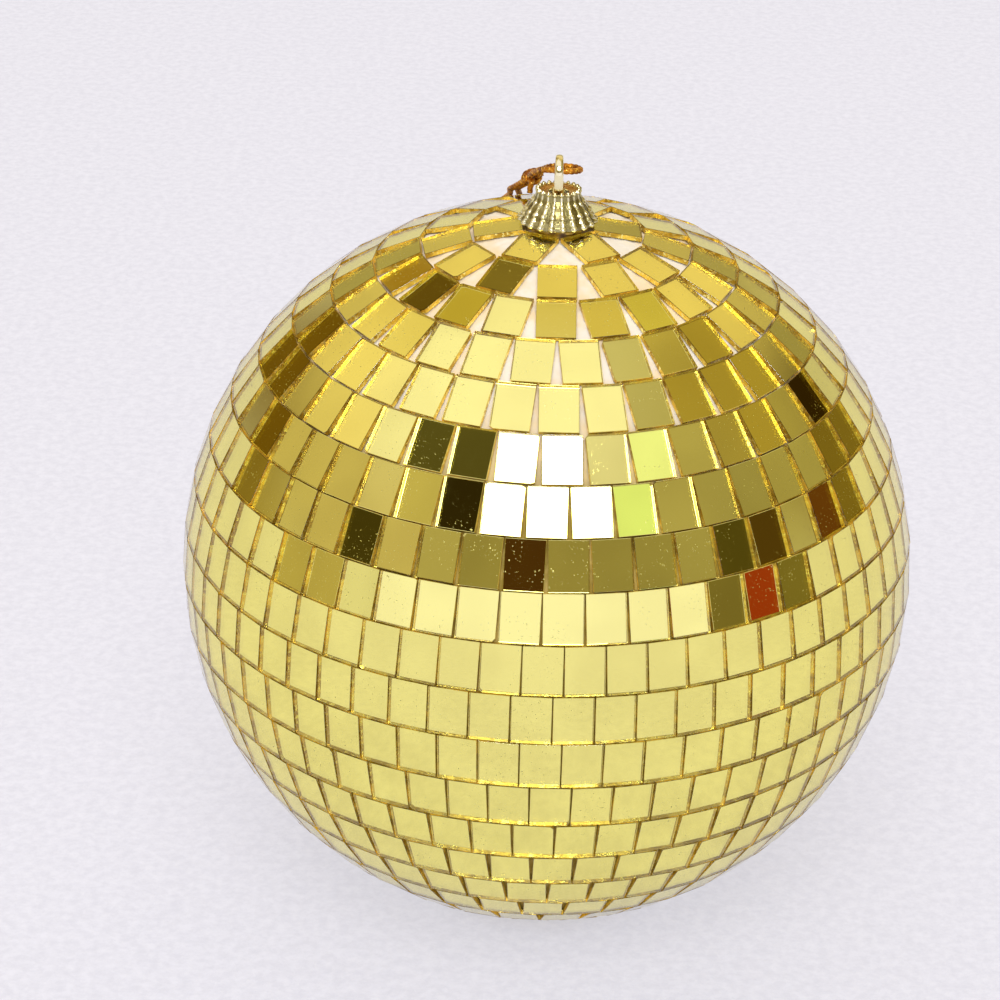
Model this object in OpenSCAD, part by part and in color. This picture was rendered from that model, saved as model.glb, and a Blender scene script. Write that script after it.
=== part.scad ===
// Mirror ball: a white foam ball covered in rows of mirror tiles, with a beaded crown cap,
// a swivelling hanging loop and a knotted hanging cord.
// The origin is the centre of the ball, +Z points up through the cap, and -Y is the front.

/* [Ball] */
// Diameter of the foam core
foam_d = 150; // [150:1:153]
// Adhesive thickness between the foam and a tile's back
glue_t = 0.1; // [0.05:0.05:0.3]
// Colatitude at which the first tile row starts, in degrees
pole_gap = 5.3; // [5.2:0.1:5.4]

/* [Tiles] */
// Width of a tile, along its row
tile_w = 7.8; // [7.4:0.1:7.8]
// Height of a tile, across its row
tile_h = 9.9; // [9.6:0.1:9.9]
// Thickness of the tile glass
tile_t = 1; // [0.8:0.1:1.2]
// Smallest gap between the near corners of two tiles in a row
tile_gap = 0.06; // [0.05:0.01:0.2]

/* [Crown cap] */
// Radius of the cap at its base
cap_base_r = 7.6; // [7:0.1:7.8]
// Height of the cap from its base to its rim
cap_h = 7; // [6.8:0.1:7.2]
// Wall thickness of the cap
cap_wall = 0.9; // [0.8:0.1:1]
// Number of beaded ribs around the cap
rib_count = 20; // [18:1:22]
// How far the cap leans back from upright, in degrees
cap_lean = 3; // [0:1:4]

/* [Hanging loop] */
// Height of the top of the loop above the centre of the ball
loop_top = 90.2; // [90:0.1:92]
// Outer radius of the loop's arch
loop_r = 3.6; // [3.4:0.1:3.6]
// Thickness of the loop's strap
strap_t = 1.2; // [1:0.1:1.3]
// Diameter of the swivel stem below the loop
stem_d = 2.5; // [2:0.1:2.6]

/* [Hanging cord] */
// Diameter of the cord
cord_d = 1.3; // [1:0.1:1.3]
// Diameter of the knot
knot_d = 3.4; // [3.2:0.1:3.6]

/* [Hidden] */
$fn = 64;
tiny = 0.01;

// Every row of tiles between the two pole gaps, and where one joint of each row falls,
// in degrees round from the front. The rows are staggered by hand, as glued tiles are.
ROWS = 22;
ROW_TURN = [4, -13, -8, 1, -3.5, -2, -4, 0, -0.5, 3, 1.5,
            3, -1.5, 2.5, -1, 2, -3, 1, 5, -6, 8, 12];
foam_r = foam_d / 2;
tile_back_r = foam_r + glue_t;
tile_face_r = tile_back_r + tile_t;
tile_half_angle = atan(tile_h / 2 / tile_back_r);
// The rows are laid from the pole: each starts below the corners of the row before it, which
// reach further down than the middle of its edge. What is left over at the equator is shared
// out as the joints between the rows. Every row leaves at least a slack share of a tile over.
ROW_SLACK = 0.1;
row_joint = (90 - tile_half_angle - row_colat(ROWS / 2, 0)) / ((ROWS - 1) / 2);

// The crown cap is drawn upright from its base, then leans about the middle of its roof.
roof_top = cap_h - 0.9;
roof_t = 0.8;
roof_mid = roof_top - roof_t / 2;
roof_z = tile_face_r + 6.2;
roof_hole_r = 2;
rim_inner_r = 3.9;
// Outline of the bell, as [share of the base radius, share of the height]
BELL = [[1, 0], [0.98, 0.1], [0.89, 0.2], [0.84, 0.34], [0.74, 0.5],
        [0.66, 0.6], [0.59, 0.75], [0.565, 0.88], [0.56, 1]];
BEAD_LEVELS = [0.06, 0.2, 0.36, 0.61, 0.93];

// The swivel: the stem runs in the bore of the plug and is held by a push-on washer.
stem_r = stem_d / 2;
running_gap = 0.05;
bore_r = stem_r + running_gap;
plug_r = 3.2;
plug_neck_r = 2.6;
plug_top = roof_z - 1;
plug_bottom = foam_r - 18;
flange_r = 6.2;
flange_t = 0.8;
barb_depth = 0.5;
barb_pitch = 3;
BARBS = 5;
socket_bottom = foam_r - 25;
washer_r = 2.9;
washer_t = 1;
washer_play = 0.2;
washer_top = plug_bottom - washer_play;
stem_bottom = washer_top - washer_t - 1;

// The hanging loop stands edge-on to the front.
foot_bottom = roof_z + 0.8;
foot_t = 0.8;
strap_top_w = 1.6;
strap_foot_w = 1.9;

// The cord runs from the knot to the hanging loop, through it and round its rear leg, back
// through the knot, and on as a long loop for hanging, which lies down the back of the ball
// and ends in the knot.
CORD_POINTS = [
    [-6.1, 20.2, 77.5], [-5.7, 16.2, 79.7], [-5, 12, 81.8], [-4.3, 8, 83.7], [-3.6, 4.6, 85.3],
    [-2.6, 2.1, 86.3], [-0.9, 0.6, 86.8], [1.4, 0.2, 86.8], [3.4, 1, 86.6], [4.2, 2.9, 86.2],
    [3.4, 4.8, 85.9], [1.4, 5.6, 85.8], [-1.2, 6.4, 85.4], [-2.8, 8.6, 84.1], [-3.6, 12, 82.1],
    [-4.2, 16.2, 79.8], [-4.7, 20.8, 77.5], [-6, 24.4, 75], [-8.1, 28.7, 72.1], [-8.6, 33, 69.9],
    [-8.4, 38.5, 66.9], [-7.8, 46, 62.1], [-6, 55.2, 54.6], [-3.4, 63.2, 44.8], [-1.6, 69.6, 34.2],
    [-2.2, 73.6, 24.4], [-5.8, 76, 16], [-10.8, 76.1, 14.7], [-16.5, 73.4, 20.2], [-20.2, 69, 30],
    [-21.4, 63, 40.4], [-20.4, 56, 50], [-17.2, 50.6, 56.5], [-13, 46.3, 61.3], [-10.6, 41.5, 65],
    [-10.2, 37, 67.7], [-10.2, 33, 69.7], [-9.7, 28.4, 71.8], [-7.9, 24.7, 74.4],
    [-6.9, 22.2, 76.2]];
knot_at = [-5.4, 20.5, 77.4];
CORD_SIDES = 8;
CORD_STEPS = 2;

// Foam ball with the blind socket for the cap plug
module foam_core() {
    color("white")
    difference() {
        sphere(r = foam_r, $fn = 128);
        translate([0, 0, socket_bottom])
            cylinder(r = plug_r, h = foam_d);
    }
}

// Colatitude of the lower corners of a tile centred at the given colatitude
function corner_colat(colat) = atan2(
    norm([tile_back_r * sin(colat) + tile_h / 2 * cos(colat), tile_w / 2]),
    tile_back_r * cos(colat) - tile_h / 2 * sin(colat));

// Colatitude of the middle of a row in the upper half, for a joint between rows in degrees
function row_colat(row, joint) = tile_half_angle
    + (row == 1 ? pole_gap : corner_colat(row_colat(row - 1, joint)) + joint);

// One mirror tile, its back at the given distance out along +X
module tile() {
    translate([tile_back_r, -tile_w / 2, -tile_h / 2])
        cube([tile_t, tile_w, tile_h]);
}

// A row of tiles: as many as fit with their corners clear where the row is narrowest
module tile_row(row) {
    tilt = row > ROWS / 2
        ? row_colat(ROWS + 1 - row, row_joint) - 90
        : 90 - row_colat(row, row_joint);
    narrow_r = tile_back_r * cos(tilt) - tile_h / 2 * abs(sin(tilt));
    count = floor(180 / atan((tile_w + tile_gap) / 2 / narrow_r) - ROW_SLACK);
    color("gold")
    for (i = [0 : count - 1])
        rotate([0, 0, (i + 0.5) * 360 / count + ROW_TURN[row - 1] - 90])
            rotate([0, -tilt, 0])
                tile();
}

// The single tile that closes the bottom of the ball
module bottom_tile() {
    color("gold")
    rotate([0, 90, 0])
        tile();
}

function bell_r(share, i = 1) =
    share <= BELL[i][1] || i == len(BELL) - 1
        ? cap_base_r * (BELL[i - 1][0] + (BELL[i][0] - BELL[i - 1][0])
            * (share - BELL[i - 1][1]) / (BELL[i][1] - BELL[i - 1][1]))
        : bell_r(share, i + 1);

// Turned body of the cap: bell outside, hollow below the roof, recess above it
module bell() {
    outer = [for (p = BELL) [p[0] * cap_base_r, p[1] * cap_h]];
    inner = [for (p = BELL) if (p[1] * cap_h < roof_top - roof_t)
        [p[0] * cap_base_r - cap_wall, p[1] * cap_h]];
    last = inner[len(inner) - 1];
    difference() {
        rotate_extrude()
            polygon(concat([[0, 0]], outer, [[0, cap_h]]));
        rotate_extrude()
            polygon(concat([[0, -tiny], [inner[0][0], -tiny]], inner,
                [[last[0], roof_top - roof_t], [0, roof_top - roof_t]]));
        translate([0, 0, roof_top])
            cylinder(r = rim_inner_r, h = cap_h);
        cylinder(r = roof_hole_r, h = cap_h);
    }
}

// Beaded crown cap, glued on slightly askew
module crown_cap() {
    color("darkkhaki")
    translate([0, 0, roof_z])
        rotate([-cap_lean, 0, 0])
            translate([0, 0, -roof_mid]) {
                bell();
                for (level = BEAD_LEVELS)
                    for (i = [0 : rib_count - 1])
                        rotate([0, 0, (i + 0.5) * 360 / rib_count])
                            translate([bell_r(level), 0, level * cap_h])
                                sphere(r = 0.05 * bell_r(level) + 0.22, $fn = 24);
            }
}

// Barbed plug in the foam that holds the cap and carries the swivel stem in its bore
module cap_plug() {
    color("ivory")
    difference() {
        rotate_extrude()
            polygon(concat(
                [[0, plug_bottom], [plug_r - barb_depth, plug_bottom]],
                [for (i = [0 : BARBS - 1], p = [[plug_r - barb_depth, 0],
                        [plug_r, barb_pitch / 2], [plug_r - barb_depth, barb_pitch / 2]])
                    [p[0], plug_bottom + 1 + i * barb_pitch + p[1]]],
                [[plug_r - barb_depth, foam_r], [flange_r, foam_r],
                 [flange_r, foam_r + flange_t], [plug_neck_r, foam_r + flange_t],
                 [plug_neck_r, plug_top], [0, plug_top]]));
        translate([0, 0, plug_bottom - 1])
            cylinder(r = bore_r, h = plug_top - plug_bottom + 2);
    }
}

// Outline of the loop: a half-round arch on two straight legs and a foot across them
module loop_outline() {
    arch_z = loop_top - loop_r;
    difference() {
        union() {
            translate([0, arch_z])
                circle(r = loop_r);
            translate([-loop_r, foot_bottom])
                square([2 * loop_r, arch_z - foot_bottom]);
        }
        translate([0, arch_z])
            circle(r = loop_r - strap_t);
        translate([-loop_r + strap_t, foot_bottom + foot_t])
            square([2 * (loop_r - strap_t), arch_z - foot_bottom - foot_t]);
    }
}

// Hanging loop, its strap narrowing upwards, with the swivel stem below it
module hanging_loop() {
    color("khaki")
    union() {
        intersection() {
            rotate([90, 0, 90])
                linear_extrude(height = strap_foot_w + 1, center = true)
                    loop_outline();
            rotate([90, 0, 0])
                linear_extrude(height = 3 * loop_r, center = true)
                    polygon([[-strap_foot_w / 2, foot_bottom - 1],
                        [strap_foot_w / 2, foot_bottom - 1],
                        [strap_top_w / 2, loop_top + 1],
                        [-strap_top_w / 2, loop_top + 1]]);
            translate([0, 0, foot_bottom])
                cylinder(r = loop_r, h = loop_top - foot_bottom + 1);
        }
        translate([0, 0, stem_bottom])
            cylinder(r = stem_r, h = foot_bottom + foot_t / 2 - stem_bottom);
    }
}

// Push-on washer that holds the stem in the plug
module stem_washer() {
    color("silver")
    translate([0, 0, washer_top - washer_t])
        difference() {
            cylinder(r = washer_r, h = washer_t);
            translate([0, 0, -1])
                cylinder(r = stem_r, h = washer_t + 2);
        }
}

// A point of the smooth curve through the cord's points, at share t of span i
function curve_point(p, i, t) =
    let (a = p[max(i - 1, 0)], b = p[i], c = p[i + 1], d = p[min(i + 2, len(p) - 1)])
    0.5 * (2 * b + (c - a) * t + (2 * a - 5 * b + 4 * c - d) * t * t
        + (3 * b - a - 3 * c + d) * t * t * t);
function unit(v) = v / norm(v);

// Tube along a path: each ring's frame leans on the direction away from the ball's centre
module tube(path, d, sides) {
    last = len(path) - 1;
    rings = [for (i = [0 : last])
        let (along = unit(path[min(i + 1, last)] - path[max(i - 1, 0)]),
             side = unit(cross(along, path[i])),
             out = cross(side, along))
        for (k = [0 : sides - 1])
            path[i] + d / 2 * (cos(360 * k / sides) * side + sin(360 * k / sides) * out)];
    walls = [for (i = [0 : last - 1], k = [0 : sides - 1])
        let (n = (k + 1) % sides)
        [i * sides + k, i * sides + n, (i + 1) * sides + n, (i + 1) * sides + k]];
    polyhedron(
        points = rings,
        faces = concat([[for (k = [sides - 1 : -1 : 0]) k]], walls,
            [[for (k = [0 : sides - 1]) last * sides + k]]));
}

// Metallic cord, from the knot through the hanging loop and back, then the long loop
module hanging_cord() {
    path = concat(
        [for (i = [0 : len(CORD_POINTS) - 2], s = [0 : CORD_STEPS - 1])
            curve_point(CORD_POINTS, i, s / CORD_STEPS)],
        [CORD_POINTS[len(CORD_POINTS) - 1]]);
    color("peru")
    tube(path, cord_d, CORD_SIDES);
}

// Knot that ties the cord's two runs together
module cord_knot() {
    color("saddlebrown")
    translate(knot_at)
        sphere(d = knot_d, $fn = 32);
}

foam_core();
tile_row(1);  // tile_row_01
tile_row(2);  // tile_row_02
tile_row(3);  // tile_row_03
tile_row(4);  // tile_row_04
tile_row(5);  // tile_row_05
tile_row(6);  // tile_row_06
tile_row(7);  // tile_row_07
tile_row(8);  // tile_row_08
tile_row(9);  // tile_row_09
tile_row(10);  // tile_row_10
tile_row(11);  // tile_row_11
tile_row(12);  // tile_row_12
tile_row(13);  // tile_row_13
tile_row(14);  // tile_row_14
tile_row(15);  // tile_row_15
tile_row(16);  // tile_row_16
tile_row(17);  // tile_row_17
tile_row(18);  // tile_row_18
tile_row(19);  // tile_row_19
tile_row(20);  // tile_row_20
tile_row(21);  // tile_row_21
tile_row(22);  // tile_row_22
bottom_tile();
crown_cap();
cap_plug();
hanging_loop();
stem_washer();
hanging_cord();
cord_knot();
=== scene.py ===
"""Looks of the mirror ball: glass mirror tiles, foam, plated crown cap, hanging loop and cord."""
import math
import random

import bmesh
import bpy
from mathutils import Matrix, Vector, noise


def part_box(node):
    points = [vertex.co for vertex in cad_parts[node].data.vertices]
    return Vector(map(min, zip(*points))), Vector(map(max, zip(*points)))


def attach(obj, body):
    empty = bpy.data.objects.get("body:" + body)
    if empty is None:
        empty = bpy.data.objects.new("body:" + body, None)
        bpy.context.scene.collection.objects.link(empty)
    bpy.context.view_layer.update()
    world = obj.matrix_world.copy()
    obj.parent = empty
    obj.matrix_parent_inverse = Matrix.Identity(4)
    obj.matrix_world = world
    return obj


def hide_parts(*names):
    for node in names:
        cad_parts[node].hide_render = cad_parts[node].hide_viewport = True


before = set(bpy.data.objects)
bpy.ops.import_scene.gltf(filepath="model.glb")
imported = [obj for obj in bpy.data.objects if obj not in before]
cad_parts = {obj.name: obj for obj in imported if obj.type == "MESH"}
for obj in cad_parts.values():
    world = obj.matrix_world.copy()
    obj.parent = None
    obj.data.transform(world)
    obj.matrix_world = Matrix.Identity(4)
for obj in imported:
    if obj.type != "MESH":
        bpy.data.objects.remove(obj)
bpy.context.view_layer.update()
scene = bpy.context.scene

MM = 0.001
BALL = "ball"
HANGER = "hanger"
TILE_ROWS = [name for name in sorted(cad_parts) if name.startswith("tile_row_")]
TILE_NODES = TILE_ROWS + ["bottom_tile"]

# The ball, from the CAD: the foam's radius, and the distance of the tiles' faces.
FOAM_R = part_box("foam_core")[1].x
FACE_R = -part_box("bottom_tile")[0].z

# --------------------------------------------------------------------------- camera

CAMERA_DISTANCE = 9 * FACE_R
CAMERA_ELEVATION = math.radians(28)
CAMERA_ROLL = math.radians(1.8)
CAMERA_LENS = 116.7
CAMERA_SHIFT = (-0.047, 0.057)


def make_camera():
    """Long lens, looking down at the centre of the ball from the front."""
    data = bpy.data.cameras.new("camera")
    data.lens = CAMERA_LENS
    data.shift_x, data.shift_y = CAMERA_SHIFT
    camera = bpy.data.objects.new("camera", data)
    scene.collection.objects.link(camera)
    back = Vector((0, -math.cos(CAMERA_ELEVATION), math.sin(CAMERA_ELEVATION)))
    level_up = Vector((0, math.sin(CAMERA_ELEVATION), math.cos(CAMERA_ELEVATION)))
    level_right = Vector((1, 0, 0))
    right = math.cos(CAMERA_ROLL) * level_right + math.sin(CAMERA_ROLL) * level_up
    up = math.cos(CAMERA_ROLL) * level_up - math.sin(CAMERA_ROLL) * level_right
    turn = Matrix((right, up, back)).transposed().to_4x4()
    camera.matrix_world = Matrix.Translation(back * CAMERA_DISTANCE) @ turn
    scene.camera = camera


# --------------------------------------------------------------------------- node helpers


def node(tree, kind, inputs=None, **settings):
    """A new shader node; each input is a constant or a socket to link."""
    made = tree.nodes.new(kind)
    for name, value in settings.items():
        setattr(made, name, value)
    for name, value in (inputs or {}).items():
        if isinstance(value, bpy.types.NodeSocket):
            tree.links.new(value, made.inputs[name])
        else:
            made.inputs[name].default_value = value
    return made


def maths(tree, operation, a, b=0.0):
    """Result of a Math node."""
    return node(tree, "ShaderNodeMath", {0: a, 1: b}, operation=operation).outputs[0]


def between(tree, value, start, end, low=0.0, high=1.0):
    """Smooth step of a value from low at start to high at end."""
    inputs = {"Value": value, "From Min": start, "From Max": end, "To Min": low, "To Max": high}
    kind = "ShaderNodeMapRange"
    return node(tree, kind, inputs, interpolation_type="SMOOTHSTEP").outputs["Result"]


def mixed(tree, share, a, b):
    """Mix of two colours."""
    made = node(tree, "ShaderNodeMix", data_type="RGBA")
    for socket, value in ((made.inputs[0], share), (made.inputs[6], a), (made.inputs[7], b)):
        if isinstance(value, bpy.types.NodeSocket):
            tree.links.new(value, socket)
        else:
            socket.default_value = value
    return made.outputs[2]


def opaque(colour):
    """Colour with full alpha."""
    return (*colour, 1.0)


def place(tree):
    """Object coordinates, which are the frame's own metres."""
    return node(tree, "ShaderNodeTexCoord").outputs["Object"]


def grain(tree, scale, detail=3.0, roughness=0.55, vector=None):
    """Noise with features of about 1/scale metres."""
    inputs = {"Vector": vector or place(tree), "Scale": scale, "Detail": detail,
              "Roughness": roughness}
    return node(tree, "ShaderNodeTexNoise", inputs).outputs["Fac"]


def bump(tree, height, strength, distance):
    """Normal bent by a height."""
    inputs = {"Height": height, "Strength": strength, "Distance": distance}
    return node(tree, "ShaderNodeBump", inputs).outputs["Normal"]


def new_material(name, **constants):
    """Material with one Principled shader, whose named inputs are constants."""
    material = bpy.data.materials.new(name)
    material.use_nodes = True
    shader = material.node_tree.nodes["Principled BSDF"]
    for key, value in constants.items():
        shader.inputs[key.replace("_", " ")].default_value = value
    return material, material.node_tree, shader


def feed(tree, shader, **links):
    """Links sockets to the shader's inputs."""
    for key, socket in links.items():
        tree.links.new(socket, shader.inputs[key.replace("_", " ")])


# --------------------------------------------------------------------------- materials

AMBER = (0.975, 0.915, 0.0, 1.0)
AMBER_DENSITY = 640.0


def tile_glass():
    """Clear gold-tinted glass: a longer path through it, as at the edges, turns amber."""
    material, tree, _ = new_material(
        "tile_glass", Base_Color=opaque((1, 1, 1)), Roughness=0.0, IOR=1.5, Transmission_Weight=1.0)
    absorb = node(tree, "ShaderNodeVolumeAbsorption", {"Color": AMBER, "Density": AMBER_DENSITY})
    output = tree.nodes["Material Output"]
    tree.links.new(absorb.outputs["Volume"], output.inputs["Volume"])
    return material


def tile_silver():
    """Mirror layer on the back of the glass, with specks, fine scratches and a little haze."""
    material, tree, shader = new_material("tile_silver", Metallic=1.0)
    where = place(tree)
    specks = between(tree, grain(tree, 2200, 2.0, 0.5, where), 0.66, 0.71)
    stretched = node(tree, "ShaderNodeMapping", {"Vector": where, "Rotation": (0.4, 0.9, 0.3),
                                                 "Scale": (1.0, 0.05, 1.0)}).outputs[0]
    scratches = between(tree, grain(tree, 2400, 1.0, 0.4, stretched), 0.74, 0.78)
    worn = between(tree, grain(tree, 90, 2.0, 0.5, where), 0.4, 0.62)
    marks = maths(tree, "MULTIPLY", maths(tree, "MAXIMUM", specks, scratches), worn)
    haze = between(tree, grain(tree, 160, 4.0, 0.6, where), 0.35, 0.75, 0.0, 0.035)
    cloud = between(tree, grain(tree, 75, 1.0, 0.5, where), 0.36, 0.64)
    clean = mixed(tree, cloud, opaque((0.98, 0.97, 0.95)), opaque((0.92, 0.905, 0.87)))
    tone = mixed(tree, marks, clean, opaque((0.95, 0.95, 0.93)))
    feed(tree, shader, Base_Color=tone,
         Roughness=maths(tree, "ADD", haze, maths(tree, "MULTIPLY", marks, 0.5)))
    return material


# Strength of the edges' painted glow, standing for light led through the glass.
EDGE_PAINTED_GLOW = 0.06


def tile_edge(name, dark, light, glint, streak_size):
    """Cut side of the glass, in dark and light amber, with painted glints along its streaks and a
    painted glow that stands for the light inside the tile.
    """
    material, tree, shader = new_material(
        name, Metallic=0.8, Coat_Weight=0.15, Coat_Roughness=0.1, Emission_Strength=EDGE_PAINTED_GLOW)
    where = place(tree)
    patches = between(tree, grain(tree, 230, 2.0, 0.6, where), 0.42, 0.6)
    streaks = between(tree, grain(tree, 1 / streak_size, 2.0, 0.6, where), 0.53, 0.62)
    base = mixed(tree, patches, opaque(dark), opaque(light))
    feed(tree, shader, Base_Color=mixed(tree, streaks, base, opaque(glint)), Emission_Color=base,
         Roughness=between(tree, streaks, 0.0, 1.0, 0.36, 0.16),
         Normal=bump(tree, grain(tree, 1800, 3.0, 0.6, where), 0.35, 0.0002))
    return material


# Heights between which the foam's darker amber tone fades out upwards, in metres
LOW_AMBER_FADE = (0.040, 0.062)


def foam_white():
    """White expanded foam, which turns darker and amber towards the bottom, between the close-set
    lower tiles.
    """
    material, tree, shader = new_material("foam_white", IOR=1.4, Specular_IOR_Level=0.3)
    where = place(tree)
    cells = node(tree, "ShaderNodeTexVoronoi", {"Vector": where, "Scale": 330.0})
    film = between(tree, grain(tree, 120, 3.0, 0.6, where), 0.42, 0.62)
    height = node(tree, "ShaderNodeSeparateXYZ", {0: where}).outputs["Z"]
    low_amber_share = between(tree, height, LOW_AMBER_FADE[0], LOW_AMBER_FADE[1], 1.0, 0.0)
    pale = mixed(tree, film, opaque((0.80, 0.75, 0.66)), opaque((0.80, 0.66, 0.45)))
    low_amber_tone = mixed(tree, film, opaque((0.36, 0.26, 0.05)), opaque((0.56, 0.43, 0.12)))
    tone = mixed(tree, low_amber_share, pale, low_amber_tone)
    feed(tree, shader, Base_Color=tone,
         Roughness=between(tree, film, 0.0, 1.0, 0.75, 0.35),
         Normal=bump(tree, cells.outputs["Distance"], 0.4, 0.0003))
    return material


def plated(name, light, dark, roughness=0.13):
    """Vacuum-plated gold over moulded plastic, with soft highlights; the cap's valleys use a darker
    copy as painted shade.
    """
    material, tree, shader = new_material(name, Metallic=1.0)
    where = place(tree)
    cloud = between(tree, grain(tree, 420, 3.0, 0.6, where), 0.35, 0.7)
    fine = grain(tree, 2500, 2.0, 0.5, where)
    feed(tree, shader, Base_Color=mixed(tree, cloud, opaque(light), opaque(dark)),
         Roughness=between(tree, fine, 0.3, 0.7, roughness * 0.7, roughness * 1.5),
         Normal=bump(tree, grain(tree, 900, 2.0, 0.5, where), 0.06, 0.0002))
    return material


def moulded(name, light, dark, roughness):
    """Plain moulded plastic with a fine texture."""
    material, tree, shader = new_material(name)
    where = place(tree)
    feed(tree, shader,
         Base_Color=mixed(tree, grain(tree, 200, 3.0, 0.6, where), opaque(light), opaque(dark)),
         Roughness=between(tree, grain(tree, 1500, 2.0, 0.5, where), 0.3, 0.7,
                           roughness * 0.8, roughness * 1.2),
         Normal=bump(tree, grain(tree, 3000, 2.0, 0.5, where), 0.1, 0.0001))
    return material


def glue_and_shade():
    """Amber hot-melt glue, glossy and uneven, coloured dark so that it is also painted shade under the
    cap's base.
    """
    material, tree, shader = new_material("glue_and_shade", IOR=1.48, Coat_Weight=1.0, Coat_Roughness=0.05)
    where = place(tree)
    patches = between(tree, grain(tree, 700, 3.0, 0.6, where), 0.36, 0.62)
    feed(tree, shader,
         # Painted shade: the glue's colours are dark to stand for the shade under the cap.
         Base_Color=mixed(tree, patches, opaque((0.20, 0.09, 0.01)), opaque((0.70, 0.45, 0.05))),
         Roughness=between(tree, patches, 0.0, 1.0, 0.4, 0.15),
         Normal=bump(tree, grain(tree, 1100, 2.0, 0.5, where), 0.5, 0.0003))
    return material


def brushed_steel():
    """Turned spring steel with fine rings."""
    material, tree, shader = new_material("spring_steel", Metallic=1.0)
    where = place(tree)
    rings = node(tree, "ShaderNodeTexWave", {"Vector": where, "Scale": 900.0, "Distortion": 1.5},
                 wave_type="RINGS", rings_direction="Z").outputs["Fac"]
    tone = mixed(tree, grain(tree, 300, 3.0, 0.6, where), opaque((0.66, 0.66, 0.67)),
                 opaque((0.45, 0.45, 0.46)))
    feed(tree, shader, Base_Color=tone, Roughness=between(tree, rings, 0.0, 1.0, 0.2, 0.4),
         Normal=bump(tree, rings, 0.15, 0.0001))
    return material


def metallic_yarn():
    """Brown and gold metallic film, twisted into yarn."""
    material, tree, shader = new_material("metallic_yarn", Metallic=0.75)
    where = place(tree)
    flakes = node(tree, "ShaderNodeTexVoronoi", {"Vector": where, "Scale": 2600.0})
    patches = between(tree, grain(tree, 420, 2.0, 0.5, where), 0.42, 0.6)
    base = mixed(tree, patches, opaque((0.24, 0.07, 0.006)), opaque((0.62, 0.25, 0.015)))
    glints = between(tree, flakes.outputs["Color"], 0.7, 0.85)
    feed(tree, shader,
         Base_Color=mixed(tree, glints, base, opaque((0.98, 0.60, 0.09))),
         Roughness=between(tree, flakes.outputs["Distance"], 0.0, 0.6, 0.22, 0.5),
         Normal=bump(tree, flakes.outputs["Distance"], 0.5, 0.00012))
    return material


# Painted contact shadow: under the ball the cloth's glow is dimmed, and it comes back between these
# distances.
CONTACT_SHADOW_REACH = (4 * MM, 32 * MM)
CONTACT_SHADOW_GLOW = (0.46, 0.42, 0.36)


def floor_white():
    """Pale, slightly fluffy cloth on the table that glows by itself, with a painted contact shadow
    under the ball.
    """
    material, tree, shader = new_material(
        "floor_white", Specular_IOR_Level=0.1, Roughness=0.9, Emission_Strength=0.71)
    where = place(tree)
    tufts = grain(tree, 380, 6.0, 0.7, where)
    tone = mixed(tree, between(tree, tufts, 0.3, 0.7), opaque((0.175, 0.17, 0.18)),
                 opaque((0.215, 0.21, 0.22)))
    glow = mixed(tree, between(tree, tufts, 0.3, 0.7), opaque((0.84, 0.83, 0.92)),
                 opaque((0.90, 0.89, 0.98)))
    parts = node(tree, "ShaderNodeSeparateXYZ", {0: where}).outputs
    reach = maths(tree, "SQRT", maths(tree, "ADD", maths(tree, "POWER", parts["X"], 2.0),
                                      maths(tree, "POWER", parts["Y"], 2.0)))
    # Painted contact shadow: the glow is dimmed near the point under the ball.
    unshadowed_share = between(tree, reach, CONTACT_SHADOW_REACH[0], CONTACT_SHADOW_REACH[1])
    shadowed_glow = mixed(tree, unshadowed_share, opaque(CONTACT_SHADOW_GLOW), glow)
    feed(tree, shader, Base_Color=tone, Emission_Color=shadowed_glow,
         Normal=bump(tree, tufts, 0.15, 0.0015))
    return material


# --------------------------------------------------------------------------- mesh helpers


def new_piece(name, mesh, materials, body, slot, *nodes):
    """An object from a finished bmesh, riding on its body and standing for its CAD nodes."""
    bmesh.ops.recalc_face_normals(mesh, faces=mesh.faces)
    data = bpy.data.meshes.new(name)
    mesh.to_mesh(data)
    mesh.free()
    for material in materials:
        data.materials.append(material)
    piece = bpy.data.objects.new(name, data)
    scene.collection.objects.link(piece)
    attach(piece, body)
    if nodes:
        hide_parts(*nodes)
    return piece


def skin(mesh, rings, closed_along=False):
    """Quads between rings of points; the ends are capped unless the last ring meets the first."""
    made = [[mesh.verts.new(point) for point in ring] for ring in rings]
    count = len(rings[0])
    pairs = list(zip(made, made[1:]))
    if closed_along:
        pairs.append((made[-1], made[0]))
    for here, there in pairs:
        for k in range(count):
            n = (k + 1) % count
            mesh.faces.new((here[k], here[n], there[n], there[k])).smooth = True
    if not closed_along:
        for ring in (made[0], made[-1]):
            mesh.faces.new(ring)


def lathe(mesh, profile, sides, relief):
    """Turned closed surface from (radius, height) points; relief(angle, i) adds to a radius."""
    rings = []
    for k in range(sides):
        angle = 2 * math.pi * k / sides
        ring = []
        for i, (radius, height) in enumerate(profile):
            r = radius + relief(angle, i)
            ring.append(Vector((r * math.cos(angle), r * math.sin(angle), height)))
        rings.append(ring)
    made = [[mesh.verts.new(point) for point in ring] for ring in rings]
    count = len(profile)
    for k in range(sides):
        here, there = made[k], made[(k + 1) % sides]
        for i in range(count):
            n = (i + 1) % count
            mesh.faces.new((here[i], there[i], there[n], here[n])).smooth = True


def curve_through(points, steps):
    """Smooth curve through points, with that many steps from each to the next."""
    last = len(points) - 1
    made = []
    for i in range(last):
        a, b, c, d = points[max(i - 1, 0)], points[i], points[i + 1], points[min(i + 2, last)]
        for s in range(steps):
            t = s / steps
            made.append(0.5 * (2 * b + (c - a) * t + (2 * a - 5 * b + 4 * c - d) * t * t
                               + (3 * b - a - 3 * c + d) * t * t * t))
    made.append(points[-1].copy())
    return made


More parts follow.
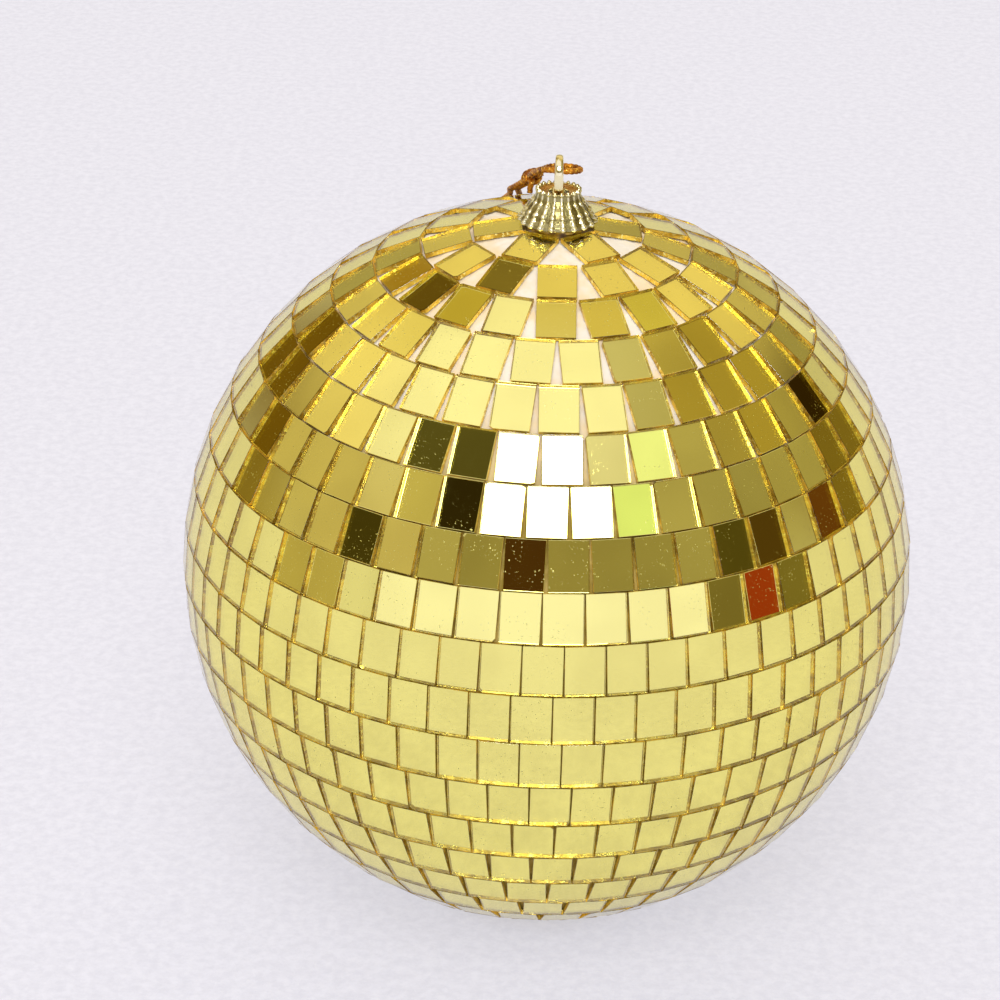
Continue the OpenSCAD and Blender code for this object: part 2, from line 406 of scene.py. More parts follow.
def evenly(path, spacing):
    """The same path with points the same distance apart."""
    made = [path[0].copy()]
    left = spacing
    for a, b in zip(path, path[1:]):
        length = (b - a).length
        at = left
        while at <= length:
            made.append(a.lerp(b, at / length))
            at += spacing
        left = at - length
    if (made[-1] - path[-1]).length > spacing / 2:
        made.append(path[-1].copy())
    return made


def path_frames(path):
    """Two directions across the path at each point, which turn no more than the path does."""
    along = [(path[min(i + 1, len(path) - 1)] - path[max(i - 1, 0)]).normalized()
             for i in range(len(path))]
    side = along[0].orthogonal().normalized()
    frames = []
    for i, direction in enumerate(along):
        if i:
            side = along[i - 1].rotation_difference(direction) @ side
            side = (side - side.dot(direction) * direction).normalized()
        frames.append((side, direction.cross(side)))
    return frames


# --------------------------------------------------------------------------- cord and knot

# The cord's route, in millimetres: from the knot through the hanging loop and round its rear
# leg, back through the knot, and on as a long hanging loop down the back of the ball.
CORD_POINTS = [
    (-6.1, 20.2, 77.5), (-5.7, 16.2, 79.7), (-5, 12, 81.8), (-4.3, 8, 83.7), (-3.6, 4.6, 85.3),
    (-2.6, 2.1, 86.3), (-0.9, 0.6, 86.8), (1.4, 0.2, 86.8), (3.4, 1, 86.6), (4.2, 2.9, 86.2),
    (3.4, 4.8, 85.9), (1.4, 5.6, 85.8), (-1.2, 6.4, 85.4), (-2.8, 8.6, 84.1), (-3.6, 12, 82.1),
    (-4.2, 16.2, 79.8), (-4.7, 20.8, 77.5), (-6, 24.4, 75), (-8.1, 28.7, 72.1), (-8.6, 33, 69.9),
    (-8.4, 38.5, 66.9), (-7.8, 46, 62.1), (-6, 55.2, 54.6), (-3.4, 63.2, 44.8), (-1.6, 69.6, 34.2),
    (-2.2, 73.6, 24.4), (-5.8, 76, 16), (-10.8, 76.1, 14.7), (-16.5, 73.4, 20.2), (-20.2, 69, 30),
    (-21.4, 63, 40.4), (-20.4, 56, 50), (-17.2, 50.6, 56.5), (-13, 46.3, 61.3), (-10.6, 41.5, 65),
    (-10.2, 37, 67.7), (-10.2, 33, 69.7), (-9.7, 28.4, 71.8), (-7.9, 24.7, 74.4),
    (-6.9, 22.2, 76.2)]
CORD_D = 1.3 * MM
CORD_RING_GAP = 0.22 * MM
CORD_SIDES = 24
PLIES = 3
PLY_GROOVE = 0.28  # depth of the grooves between plies, as a share of the radius
TWIST_LENGTH = 3.4 * MM
# The knot, about the middle of its CAD node, along the cord's two runs
KNOT_ALONG = Vector((-0.31, 0.82, -0.48)).normalized()
KNOT_STRAND_D = 1.25 * MM
# Half width and half height of the wraps' centreline: they go round both runs.
KNOT_HALF_W = 1.45 * MM
KNOT_HALF_H = 1.1 * MM
KNOT_TURNS = 2.6
KNOT_PITCH = 0.78 * MM
KNOT_STEPS = 16  # on each turn
KNOT_UNEVEN = 0.12  # how much fuller and slimmer the wraps get
# The cut tail, in millimetres from the knot's middle: it hangs in front of the knot.
KNOT_TAIL = [(-0.2, -2.3, 0.1), (-0.4, -3.0, -1.0), (-0.5, -3.1, -2.2)]


def yarn(mesh, path, diameter):
    """Twisted yarn of three plies along a path."""
    rings = []
    phase = 0.0
    for i, (point, (side, out)) in enumerate(zip(path, path_frames(path))):
        if i:
            phase += (path[i] - path[i - 1]).length / TWIST_LENGTH * 2 * math.pi
        ring = []
        for k in range(CORD_SIDES):
            angle = 2 * math.pi * k / CORD_SIDES
            lobe = abs(math.cos(PLIES / 2 * (angle - phase)))
            radius = diameter / 2 * (1 - PLY_GROOVE + PLY_GROOVE * lobe ** 0.7)
            ring.append(point + radius * (math.cos(angle) * side + math.sin(angle) * out))
        rings.append(ring)
    skin(mesh, rings)


def make_knot(material):
    """The knot: yarn wrapped round both runs of the cord, with a short cut tail."""
    low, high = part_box("cord_knot")
    centre = (low + high) / 2
    outward = (centre - centre.dot(KNOT_ALONG) * KNOT_ALONG).normalized()
    across = KNOT_ALONG.cross(outward)
    wraps = []
    for i in range(int(KNOT_TURNS * KNOT_STEPS) + 1):
        turn = i / KNOT_STEPS
        angle = 2 * math.pi * turn
        swell = 1 + KNOT_UNEVEN * math.sin(angle * 0.5 + 0.6)
        wraps.append(centre + KNOT_ALONG * ((turn - KNOT_TURNS / 2) * KNOT_PITCH)
                     + across * (KNOT_HALF_W * swell * math.cos(angle))
                     + outward * (KNOT_HALF_H * swell * math.sin(angle)))
    tail = [centre + Vector(offset) * MM for offset in KNOT_TAIL]
    mesh = bmesh.new()
    yarn(mesh, evenly(curve_through(wraps + tail, 6), CORD_RING_GAP), KNOT_STRAND_D)
    return new_piece("knot", mesh, [material], HANGER, "cord_yarn", "cord_knot")


def make_cord(material):
    """The hanging cord, on the route of its CAD node."""
    path = evenly(curve_through([Vector(p) * MM for p in CORD_POINTS], 8), CORD_RING_GAP)
    mesh = bmesh.new()
    yarn(mesh, path, CORD_D)
    cord = new_piece("cord", mesh, [material], HANGER, "cord_yarn", "hanging_cord")
    knot = make_knot(material)


# --------------------------------------------------------------------------- tiles

SAME_POINT = 0.004 * MM
GLASS, SILVER, EDGE, LIT_LOW_EDGE = 0, 1, 2, 3
# Below this height the lower sides of the tiles take a lighter copy of the edge material: painted
# light from under the ball.
LIT_BELOW = 18 * MM
CUT_ERROR = 0.045 * MM
EDGE_CHAMFER = 0.06 * MM
CHIP_CHANCE = 0.07
CHIP_SIZE = (0.25 * MM, 0.8 * MM)
TILT_SPREAD = math.radians(0.3)
TILT_MOST = math.radians(0.7)
FIRST_SEED = 900  # of the tiles' random cuts and tilts, one for each row


def cad_boxes(name):
    """Centre, half sizes and axes (outward, along, up) of each tile in a CAD node."""
    mesh = bmesh.new()
    mesh.from_mesh(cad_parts[name].data)
    bmesh.ops.remove_doubles(mesh, verts=mesh.verts, dist=SAME_POINT)
    mesh.verts.index_update()
    seen = set()
    boxes = []
    for first in mesh.verts:
        if first.index in seen:
            continue
        seen.add(first.index)
        island, todo = [], [first]
        while todo:
            vert = todo.pop()
            island.append(vert)
            for edge in vert.link_edges:
                other = edge.other_vert(vert)
                if other.index not in seen:
                    seen.add(other.index)
                    todo.append(other)
        boxes.append(box_of(island))
    mesh.free()
    boxes.sort(key=lambda box: math.atan2(box[0].y, box[0].x))
    return boxes


def box_of(island):
    """Centre, half sizes and axes of one box, from its corners."""
    centre = sum((v.co for v in island), Vector()) / len(island)
    normals = []
    for vert in sorted(island, key=lambda v: v.index):
        normals += [face.normal.copy() for face in vert.link_faces]
    radial = centre.normalized()
    outward = max(normals, key=lambda n: round(n.dot(radial), 4))
    north = Vector((0, 0, 1)) if abs(radial.z) < 0.999 else Vector((0, 1, 0))
    up = max(normals, key=lambda n: round(n.dot(north) - abs(n.dot(outward)), 4))
    along = up.cross(outward).normalized()
    axes = (outward, along, up)
    halves = [max(abs((v.co - centre).dot(axis)) for v in island) for axis in axes]
    return centre, halves, axes


def tile_outline(half_w, half_h, rng):
    """Corners of a hand-cut tile, never outside its blank; now and then one is chipped."""
    outline = []
    for x, y in ((-1, -1), (1, -1), (1, 1), (-1, 1)):
        corner = Vector((x * (half_w - rng.uniform(0, CUT_ERROR)),
                         y * (half_h - rng.uniform(0, CUT_ERROR))))
        chipped = rng.random() < CHIP_CHANCE
        first, second = rng.uniform(*CHIP_SIZE), rng.uniform(*CHIP_SIZE)
        if not chipped:
            outline.append(corner)
        elif x * y > 0:
            outline += [corner - Vector((0, y * first)), corner - Vector((x * second, 0))]
        else:
            outline += [corner - Vector((x * second, 0)), corner - Vector((0, y * first))]
    return outline


def add_tile(mesh, box, rng):
    """One slab of mirror glass: silvered back, cut sides, tiny chamfer and polished face."""
    centre, (half_t, half_w, half_h), (outward, along, up) = box
    lean = [max(-TILT_MOST, min(TILT_MOST, rng.gauss(0, TILT_SPREAD))) for _ in range(2)]
    turn = Matrix.Rotation(lean[0], 3, along) @ Matrix.Rotation(lean[1], 3, up)
    outward, along, up = turn @ outward, turn @ along, turn @ up
    outline = tile_outline(half_w, half_h, rng)
    shrink = Vector((1 - EDGE_CHAMFER / half_w, 1 - EDGE_CHAMFER / half_h))
    levels = [(-half_t, Vector((1, 1))), (half_t - EDGE_CHAMFER, Vector((1, 1))),
              (half_t, shrink)]
    rings = [[mesh.verts.new(centre + outward * depth + along * p.x * scale.x
                             + up * p.y * scale.y) for p in outline]
             for depth, scale in levels]
    count = len(outline)
    for lower, upper, material in ((rings[0], rings[1], EDGE), (rings[1], rings[2], GLASS)):
        for k in range(count):
            n = (k + 1) % count
            face = mesh.faces.new((lower[k], lower[n], upper[n], upper[k]))
            side_y = (outline[k].y + outline[n].y) / 2
            # Painted light: the lower sides of low tiles take the lighter edge material.
            lit = material == EDGE and side_y < -0.9 * half_h and centre.z < LIT_BELOW
            face.material_index = LIT_LOW_EDGE if lit else material
    mesh.faces.new(rings[0][::-1]).material_index = SILVER
    mesh.faces.new(rings[-1]).material_index = GLASS


def make_tiles(materials):
    """A piece of separate mirror tiles for each row, and the tile at the bottom."""
    for number, name in enumerate(TILE_NODES):
        rng = random.Random(FIRST_SEED + number)
        mesh = bmesh.new()
        for box in cad_boxes(name):
            add_tile(mesh, box, rng)
        new_piece("mirror_" + name, mesh, materials, BALL, "mirror_tile", name)


# --------------------------------------------------------------------------- foam core

FOAM_SIDES = 260
FOAM_ARC_POINTS = 170
SOCKET_R = 3.2 * MM
SOCKET_BOTTOM = FOAM_R - 25 * MM
BEAD_SIZE = 3.2 * MM
BEAD_DENT = 0.22 * MM
# Share of a bead's size that the groove between two beads takes
GROOVE_SHARE = 0.35


def make_foam(material):
    """Foam ball with moulded beads over its surface and the socket for the cap plug."""
    start = math.asin(SOCKET_R / FOAM_R)
    arc = [start + (math.pi - start) * (i / FOAM_ARC_POINTS) for i in range(FOAM_ARC_POINTS)]
    mesh = bmesh.new()
    columns = []
    for k in range(FOAM_SIDES):
        angle = 2 * math.pi * k / FOAM_SIDES
        column = [mesh.verts.new((SOCKET_R * math.cos(angle), SOCKET_R * math.sin(angle),
                                  SOCKET_BOTTOM))]
        for i, polar in enumerate(arc):
            point = Vector((math.sin(polar) * math.cos(angle), math.sin(polar) * math.sin(angle),
                            math.cos(polar))) * FOAM_R
            nearest, second = noise.voronoi(point / BEAD_SIZE)[0][:2]
            groove = max(0.0, 1 - (second - nearest) / GROOVE_SHARE)
            depth = BEAD_DENT * groove ** 2 if i else 0.0
            column.append(mesh.verts.new(point * (1 - depth / FOAM_R)))
        columns.append(column)
    bottom = mesh.verts.new((0, 0, -FOAM_R))
    floor = mesh.verts.new((0, 0, SOCKET_BOTTOM))
    for k in range(FOAM_SIDES):
        here, there = columns[k], columns[(k + 1) % FOAM_SIDES]
        mesh.faces.new((floor, here[0], there[0]))
        for i in range(len(here) - 1):
            mesh.faces.new((here[i], here[i + 1], there[i + 1], there[i])).smooth = True
        mesh.faces.new((here[-1], bottom, there[-1])).smooth = True
    new_piece("foam_ball", mesh, [material], BALL, "foam", "foam_core")


# --------------------------------------------------------------------------- crown cap

# The cap is drawn upright with its base at zero, then leans about the middle of its roof.
CAP_BASE_R = 7.6 * MM
CAP_H = 7 * MM
CAP_WALL = 0.9 * MM
CAP_LEAN = math.radians(3)
ROOF_TOP = CAP_H - 0.9 * MM
ROOF_T = 0.8 * MM
ROOF_HOLE_R = 2 * MM
ROOF_ABOVE_FACE = 6.2 * MM
RIM_INNER_R = 3.9 * MM
RIB_COUNT = 20
BELL = [(1, 0), (0.98, 0.1), (0.89, 0.2), (0.84, 0.34), (0.74, 0.5),
        (0.66, 0.6), (0.59, 0.75), (0.565, 0.88), (0.56, 1)]
BEAD_LEVELS = [0.06, 0.2, 0.36, 0.61, 0.93]
RIB_SHARE = 0.62
RIB_RISE = 0.62
BELL_LEVELS = 84
VALLEY_DEPTH = 0.12 * MM
RIM_START = 6.3 * MM
GLUE_SIDES = 180
GLUE_FRONT = math.radians(-70)
GLUE_INNER_R = 6.2 * MM
GLUE_OUTER_R = 6.45 * MM
GLUE_BASE = FOAM_R - 0.3 * MM
GLUE_LIP = FACE_R - 0.2 * MM
GLUE_SWELL = 0.3 * MM
GLUE_SQUEEZE = 1.0 * MM
GLUE_SHARES = [0.15, 0.4, 0.65, 0.85, 1.0]
BELL_SIDES = RIB_COUNT * 14
# Places of the roof's painted-reflection material and the valleys' painted-shade material in the cap's
# list, after its plating.
ROOF, VALLEY_SHADE = 1, 2


def bell_radius(share):
    """Radius of the bell's outline at a share of its height."""
    for (r0, s0), (r1, s1) in zip(BELL, BELL[1:]):
        if share <= s1:
            return CAP_BASE_R * (r0 + (r1 - r0) * (share - s0) / (s1 - s0))
    return CAP_BASE_R * BELL[-1][0]


def bead_radius(level):
    """Radius of the beads at a level of the bell."""
    return 0.05 * bell_radius(level) + 0.22 * MM


def from_rib(angle, radius):
    """Distance round the bell from the nearest rib's middle."""
    step = 2 * math.pi / RIB_COUNT
    return ((angle / step) % 1.0 - 0.5) * step * radius


def bead_relief(share, angle):
    """How far beads and their rib stand out of the bell at a height and an angle."""
    radius = bell_radius(share)
    aside = from_rib(angle, radius)
    rib_r = RIB_SHARE * bead_radius(share)
    relief = RIB_RISE * math.sqrt(max(0.0, rib_r ** 2 - aside ** 2))
    for level in BEAD_LEVELS:
        rise = (share - level) * CAP_H
        reach = bead_radius(level) ** 2 - aside ** 2 - rise ** 2
        relief = max(relief, math.sqrt(max(0.0, reach)))
    return relief


def scallop(point):
    """Lowers the rim between the beads that crown it."""
    if point.z < RIM_START:
        return point
    bead_r = bead_radius(BEAD_LEVELS[-1])
    aside = from_rib(math.atan2(point.y, point.x) % (2 * math.pi), bell_radius(1))
    crown = math.sqrt(max(0.0, 1 - (aside / bead_r) ** 2))
    return Vector((point.x, point.y, RIM_START + (point.z - RIM_START) * (0.3 + 0.7 * crown)))


def cap_move():
    """Puts the upright cap in its leaning place."""
    return (Matrix.Translation((0, 0, FACE_R + ROOF_ABOVE_FACE))
            @ Matrix.Rotation(-CAP_LEAN, 4, "X") @ Matrix.Translation((0, 0, ROOF_T / 2 - ROOF_TOP)))


def make_cap(materials):
    """Beaded bell with a hollow inside, a rim and a recessed roof round the swivel stem."""
    outer = [(bell_radius(i / BELL_LEVELS), CAP_H * i / BELL_LEVELS)
             for i in range(BELL_LEVELS + 1)]
    inner = [(bell_radius(i / 10) - CAP_WALL, CAP_H * i / 10) for i in range(10)
             if CAP_H * i / 10 < ROOF_TOP - ROOF_T]
    rim = [(RIM_INNER_R + 0.12 * MM, CAP_H), (RIM_INNER_R, CAP_H - 0.12 * MM),
           (RIM_INNER_R, ROOF_TOP + 0.15 * MM), (RIM_INNER_R - 0.15 * MM, ROOF_TOP)]
    hole = [(ROOF_HOLE_R + 0.1 * MM, ROOF_TOP), (ROOF_HOLE_R, ROOF_TOP - 0.1 * MM),
            (ROOF_HOLE_R, ROOF_TOP - ROOF_T)]
    profile = outer + rim + hole + [(inner[-1][0], ROOF_TOP - ROOF_T)] + inner[::-1]

    def relief(angle, i):
        return bead_relief(i / BELL_LEVELS, angle) if i < len(outer) else 0.0

    mesh = bmesh.new()
    lathe(mesh, profile, BELL_SIDES, relief)
    for face in mesh.faces:
        middle = face.calc_center_median()
        radius = math.hypot(middle.x, middle.y)
        share = middle.z / CAP_H
        # The roof's faces take the orange-brown painted-reflection material.
        if radius < RIM_INNER_R and ROOF_TOP - 0.05 * MM < middle.z < ROOF_TOP + 0.1 * MM:
            face.material_index = ROOF
        # Painted shade: faces near the bell's base surface, between the ribs, take the darker valley
        # material.
        elif 0 < share < 1 and -1 < (radius - bell_radius(share)) / VALLEY_DEPTH < 1:
            face.material_index = VALLEY_SHADE
    for vert in mesh.verts:
        vert.co = scallop(vert.co)
    bmesh.ops.transform(mesh, matrix=cap_move(), verts=mesh.verts)
    new_piece("beaded_cap", mesh, materials, BALL, "plated_plastic", "crown_cap")


def make_glue_and_shade(material):
    """Uneven bead of hot glue between the foam and the cap's base, squeezed out at the front; its dark
    colour is partly painted shade under the cap.
    """
    mesh = bmesh.new()
    rings = []
    for k in range(GLUE_SIDES):
        angle = 2 * math.pi * k / GLUE_SIDES
        out = Vector((math.cos(angle), math.sin(angle), 0))
        top = (cap_move() @ (out * CAP_BASE_R)).z - 0.02 * MM
        swell = noise.noise(out * 1.7 + Vector((3, 0, 0))) * 0.35 + noise.noise(out * 6) * 0.3
        front = max(0.0, math.cos(angle - GLUE_FRONT)) ** 40
        bulge = max(0.0, swell * GLUE_SWELL + front * GLUE_SQUEEZE)
        points = [(GLUE_INNER_R, GLUE_BASE), (GLUE_OUTER_R, GLUE_BASE), (GLUE_OUTER_R, GLUE_LIP)]
        for share in GLUE_SHARES:
            r = GLUE_OUTER_R + bulge * math.sin(math.pi * min(1.0, share + 0.1))
            points.append((r, GLUE_LIP + (top - GLUE_LIP) * share))
        points.append((GLUE_INNER_R, top))
        rings.append([out * r + Vector((0, 0, z)) for r, z in points])
    skin(mesh, rings, closed_along=True)
    new_piece("cap_glue_and_shade", mesh, [material], BALL, "foam")


# --------------------------------------------------------------------------- hanging loop

STRAP_T = 1.2 * MM
STRAP_TOP_W = 1.6 * MM
STRAP_FOOT_W = 1.9 * MM
FOOT_BOTTOM = FACE_R + ROOF_ABOVE_FACE + 0.8 * MM
FOOT_T = 0.8 * MM
STEM_R = 1.25 * MM
ARCH_STEPS = 40
FOOT_CORNER = 0.8 * MM
STRAP_RING_GAP = 0.15 * MM
SECTION_POINTS = 20
SECTION_POWER = 0.75
STEM_SIDES = 40
STEM_CHAMFER = 0.25 * MM


def strap_path(loop_r, arch_z):
    """Middle line of the closed strap: up, over the arch, down, and back along the foot."""
    r = loop_r - STRAP_T / 2
    low = FOOT_BOTTOM + FOOT_T / 2
    turn = [math.pi / 2 * i / 8 for i in range(9)]
    path = [Vector((0, r * math.cos(a), arch_z + r * math.sin(a)))
            for a in [math.pi * i / ARCH_STEPS for i in range(ARCH_STEPS + 1)]]
    path += [Vector((0, -r + FOOT_CORNER * (1 - math.cos(a)), low + FOOT_CORNER * (1 - math.sin(a))))
             for a in turn]
    path += [Vector((0, r - FOOT_CORNER * (1 - math.sin(a)), low + FOOT_CORNER * (1 - math.cos(a))))
             for a in turn]
    return evenly(path + [path[0]], STRAP_RING_GAP)[:-1]


def make_loop(material):
    """Hanging loop: a closed strap that narrows upwards, and the stem below it."""
    low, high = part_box("hanging_loop")
    arch_z = high.z - high.y
    path = strap_path(high.y, arch_z)
    rings = []
    for i, point in enumerate(path):
        ahead = (path[(i + 1) % len(path)] - path[i - 1]).normalized()
        across = Vector((0, -ahead.z, ahead.y))
        share = (point.z - FOOT_BOTTOM) / (high.z - FOOT_BOTTOM)
        half_w = (STRAP_FOOT_W + (STRAP_TOP_W - STRAP_FOOT_W) * share) / 2
        upright = min(1.0, max(0.0, (point.z - FOOT_BOTTOM - FOOT_T / 2) / FOOT_CORNER))
        half_t = (FOOT_T + (STRAP_T - FOOT_T) * upright) / 2
        ring = []
        for k in range(SECTION_POINTS):
            angle = 2 * math.pi * k / SECTION_POINTS
            c, s = math.cos(angle), math.sin(angle)
            x = math.copysign(abs(c) ** SECTION_POWER, c) * half_w
            y = math.copysign(abs(s) ** SECTION_POWER, s) * half_t
            ring.append(point + Vector((x, 0, 0)) + across * y)
        rings.append(ring)
    mesh = bmesh.new()
    skin(mesh, rings, closed_along=True)
    new_piece("loop_strap", mesh, [material], HANGER, "loop_metal", "hanging_loop")
    mesh = bmesh.new()
    levels = [(STEM_R - STEM_CHAMFER, low.z), (STEM_R, low.z + STEM_CHAMFER),
              (STEM_R, FOOT_BOTTOM + FOOT_T * 0.6)]
    angles = [2 * math.pi * k / STEM_SIDES for k in range(STEM_SIDES)]
    skin(mesh, [[Vector((r * math.cos(a), r * math.sin(a), z)) for a in angles]
                for r, z in levels])
    new_piece("swivel_stem", mesh, [material], HANGER, "loop_metal", "hanging_loop")


# --------------------------------------------------------------------------- carried-over parts


def dress(name, material):
    """Gives a CAD node that keeps its shape its material."""
    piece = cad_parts[name]
    piece.data.materials.clear()
    piece.data.materials.append(material)


# --------------------------------------------------------------------------- studio

WARM_ROOM = (0.40, 0.345, 0.19)
# Soft-edged regions of the room round the object, which the mirrors pick up: direction as
# azimuth from the front and elevation, half width, half height, softness (degrees), light.
REGIONS = [
    (0, 0, 180, 9, 5, (0.80, 0.77, 0.74)),
    (-88, 24, 42, 15, 8, (0.60, 0.50, 0.30)),
    (-112, 42, 26, 14, 12, (0.95, 0.80, 0.50)),
    (180, 46, 52, 24, 14, (0.90, 0.74, 0.42)),
    (110, 42, 24, 16, 12, (0.42, 0.31, 0.085)),
    (8, 21, 42, 8, 6, (0.32, 0.27, 0.13)),
    (0, -2, 52, 19, 3, (1.06, 1.05, 1.28)),
    (-55, 33, 10, 5, 4, (0.58, 0.49, 0.25)),
    (150, 66, 34, 8, 6, (0.70, 0.56, 0.24)),
    (-88, 2, 27, 5, 3, (0.50, 0.41, 0.20)),
    (-110, 4, 8, 5, 3, (0.27, 0.19, 0.05)),
    (-47, 49, 17, 9, 4, (0.10, 0.085, 0.03)),
    (49, 54, 7, 6, 3, (0.94, 1.06, 0.80)),
    (33, 42, 7, 4, 3, (0.80, 0.98, 0.55)),
    (-33, 40, 4, 6, 3, (0.03, 0.02, 0.005)),
    (-61, 19, 6, 4.5, 2, (0.06, 0.045, 0.01)),
    (-5, 24, 6, 6, 3, (0.07, 0.03, 0.008)),
    (60, 19, 6, 3.5, 2, (0.09, 0.07, 0.015)),
    (76, 16, 7, 5, 3, (0.09, 0.05, 0.01)),
    (98, 8, 7, 5, 2, (0.14, 0.05, 0.01)),
    (111, 5, 6, 5, 2, (0.14, 0.10, 0.025)),
    (79, 3, 6, 4, 2, (0.20, 0.16, 0.05)),
    (101, -1, 12, 4, 3, (0.45, 0.32, 0.12)),
    (57, 6, 6, 4, 1.5, (0.2, 0.16, 0.06)),
    (67, 4, 5, 4, 1.5, (0.34, 0.045, 0.01)),
    (-141, 46, 7, 7, 3, (0.13, 0.08, 0.015)),
    (-161, 54, 7, 5, 3, (0.22, 0.16, 0.05)),
    (-157, 45, 6, 4, 3, (0.53, 0.31, 0.04)),
    (-138, 58, 9, 7, 3, (0.56, 0.43, 0.11)),
    (138, 57, 10, 7, 4, (0.66, 0.55, 0.18)),
    (-120, 53, 8, 5, 4, (0.74, 0.60, 0.24)),
    (-132, 11, 17, 9, 5, (0.17, 0.095, 0.01)),
    (-144, 32, 9, 5, 4, (0.36, 0.21, 0.03)),
    (124, 6, 11, 7, 4, (0.21, 0.145, 0.03)),
    (127, 18, 9, 6, 3, (0.03, 0.015, 0.002)),
]
# The bright ceiling patch: direction, inner and outer radius in degrees, light
CEILING = (-45, 70, 26, 44, (1.09, 1.06, 1.18))


def direction_of(azimuth, elevation):
    """Unit vector of an azimuth from the front and an elevation, in degrees."""
    a, e = math.radians(azimuth), math.radians(elevation)
    return Vector((math.sin(a) * math.cos(e), -math.cos(a) * math.cos(e), math.sin(e)))


def make_room():
    """Soft surroundings: a pale room with brighter and darker regions."""
    world = bpy.data.worlds.new("room")
    scene.world = world
    world.use_nodes = True
    tree = world.node_tree
    tree.nodes.clear()
    toward = node(tree, "ShaderNodeTexCoord").outputs["Generated"]
    parts = node(tree, "ShaderNodeSeparateXYZ", {0: toward}).outputs
    azimuth = maths(tree, "DEGREES",
                    maths(tree, "ARCTAN2", parts["X"], maths(tree, "MULTIPLY", parts["Y"], -1.0)))
    elevation = maths(tree, "DEGREES", maths(tree, "ARCSINE", parts["Z"]))
    blotches = node(tree, "ShaderNodeTexNoise", {"Vector": toward, "Scale": 2.6, "Detail": 3.0})
    uneven = between(tree, blotches.outputs["Fac"], 0.3, 0.7)
    light = mixed(tree, uneven, opaque([0.8 * c for c in WARM_ROOM]),
                  opaque([1.2 * c for c in WARM_ROOM]))
    centre = direction_of(CEILING[0], CEILING[1])
    toward_ceiling = node(tree, "ShaderNodeVectorMath", {0: toward, 1: centre},
                          operation="DOT_PRODUCT").outputs["Value"]
    near = between(tree, toward_ceiling, math.cos(math.radians(CEILING[3])),
                   math.cos(math.radians(CEILING[2])))
    regions = [(region, region_mask(tree, azimuth, elevation, region)) for region in REGIONS]
    for region, mask in regions[:5]:
        light = mixed(tree, mask, light, opaque(region[5]))
    light = mixed(tree, near, light, opaque(CEILING[4]))
    for region, mask in regions[5:]:
        light = mixed(tree, mask, light, opaque(region[5]))
    background = node(tree, "ShaderNodeBackground", {"Color": light, "Strength": 1.0})
    output = node(tree, "ShaderNodeOutputWorld")
    tree.links.new(background.outputs[0], output.inputs["Surface"])


def region_mask(tree, azimuth, elevation, region):
    """1 inside a region of the room and 0 outside, with a soft edge."""
    at_azimuth, at_elevation, half_w, half_h, soft, _ = region
    turned = maths(tree, "SUBTRACT", azimuth, at_azimuth)
    wrapped = node(tree, "ShaderNodeMath", {0: turned, 1: 180.0, 2: -180.0}, operation="WRAP")
    aside = maths(tree, "ABSOLUTE", wrapped.outputs[0])
    above = maths(tree, "ABSOLUTE", maths(tree, "SUBTRACT", elevation, at_elevation))
    in_width = between(tree, aside, half_w - soft / 2, half_w + soft / 2, 1.0, 0.0)
    in_height = between(tree, above, half_h - soft / 2, half_h + soft / 2, 1.0, 0.0)
    return maths(tree, "MULTIPLY", in_width, in_height)


SOFTBOX_DISTANCE = 3.0
SOFTBOX_ELEVATION = 48
SOFTBOX_SIZE = (1.72, 1.15)
SOFTBOX_RADIANCE = 8.6
FILL_DISTANCE = 3.5
FILL_SIZE = 3.0
FILL_POWER = 18.0


def area_light(name, azimuth, elevation, distance, size, power):
    """Area light that faces the object."""
    data = bpy.data.lights.new(name, "AREA")
    data.shape = "RECTANGLE"
    data.size, data.size_y = size
    data.energy = power
    lamp = bpy.data.objects.new(name, data)
    scene.collection.objects.link(lamp)
    away = direction_of(azimuth, elevation)
    lamp.location = away * distance
    lamp.rotation_mode = "QUATERNION"
    lamp.rotation_quaternion = away.to_track_quat("Z", "Y")
    return lamp


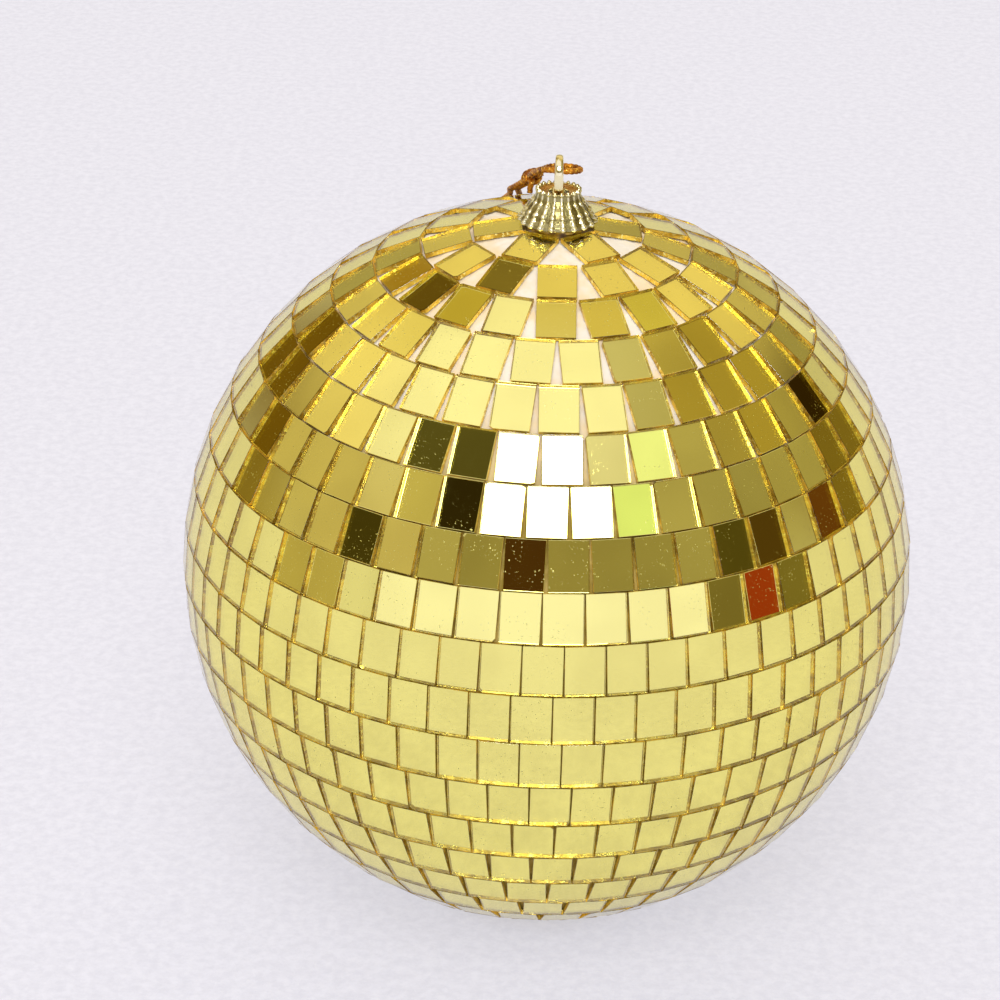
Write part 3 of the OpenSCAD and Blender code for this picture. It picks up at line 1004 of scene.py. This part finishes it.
def make_lights():
    """One softbox above the camera, and a faint fill that mirrors don't show."""
    area = SOFTBOX_SIZE[0] * SOFTBOX_SIZE[1]
    area_light("softbox", 0, SOFTBOX_ELEVATION, SOFTBOX_DISTANCE, SOFTBOX_SIZE,
               SOFTBOX_RADIANCE * math.pi * area)
    fill = area_light("fill", 0, 89, FILL_DISTANCE, (FILL_SIZE, FILL_SIZE), FILL_POWER)
    fill.visible_glossy = False
    fill.visible_transmission = False


FLOOR_HALF = 7.0
FLOOR_STEPS = 8


def make_floor(material):
    """Wide pale floor that the ball touches."""
    mesh = bmesh.new()
    places = [FLOOR_HALF * (2 * i / FLOOR_STEPS - 1) for i in range(FLOOR_STEPS + 1)]
    columns = [[mesh.verts.new((x, y, -FACE_R)) for y in places] for x in places]
    for here, there in zip(columns, columns[1:]):
        for j in range(FLOOR_STEPS):
            mesh.faces.new((here[j], there[j], there[j + 1], here[j + 1]))
    data = bpy.data.meshes.new("floor")
    mesh.to_mesh(data)
    mesh.free()
    data.materials.append(material)
    floor = bpy.data.objects.new("floor", data)
    scene.collection.objects.link(floor)


# --------------------------------------------------------------------------- the scene

make_camera()
scene.view_settings.view_transform = "Standard"
make_cord(metallic_yarn())
make_tiles([tile_glass(), tile_silver(),
            tile_edge("tile_edge", (0.52, 0.33, 0.03), (1.0, 0.73, 0.10), (1.0, 0.92, 0.34), 0.7 * MM),
            tile_edge("tile_lit_low_edge", (0.55, 0.42, 0.10), (0.92, 0.78, 0.28), (1.0, 0.98, 0.66),
                      1.6 * MM)])
make_foam(foam_white())
gold = plated("plated_gold", (0.93, 0.88, 0.60), (0.80, 0.72, 0.38))
# Painted reflection: the roof's orange-brown stands for the amber glass and the loop mirrored in it.
roof_reflection = plated("roof_amber_reflection", (0.80, 0.52, 0.20), (0.62, 0.36, 0.10), 0.3)
make_cap([gold, roof_reflection, plated("valley_shade_gold", (0.40, 0.35, 0.15), (0.26, 0.21, 0.07), 0.3)])
make_glue_and_shade(glue_and_shade())
make_loop(plated("loop_gold", (0.93, 0.85, 0.55), (0.86, 0.76, 0.42), 0.1))
dress("cap_plug", moulded("plug_ivory", (0.85, 0.82, 0.74), (0.78, 0.74, 0.65), 0.45))
dress("stem_washer", brushed_steel())
make_room()
make_lights()
make_floor(floor_white())
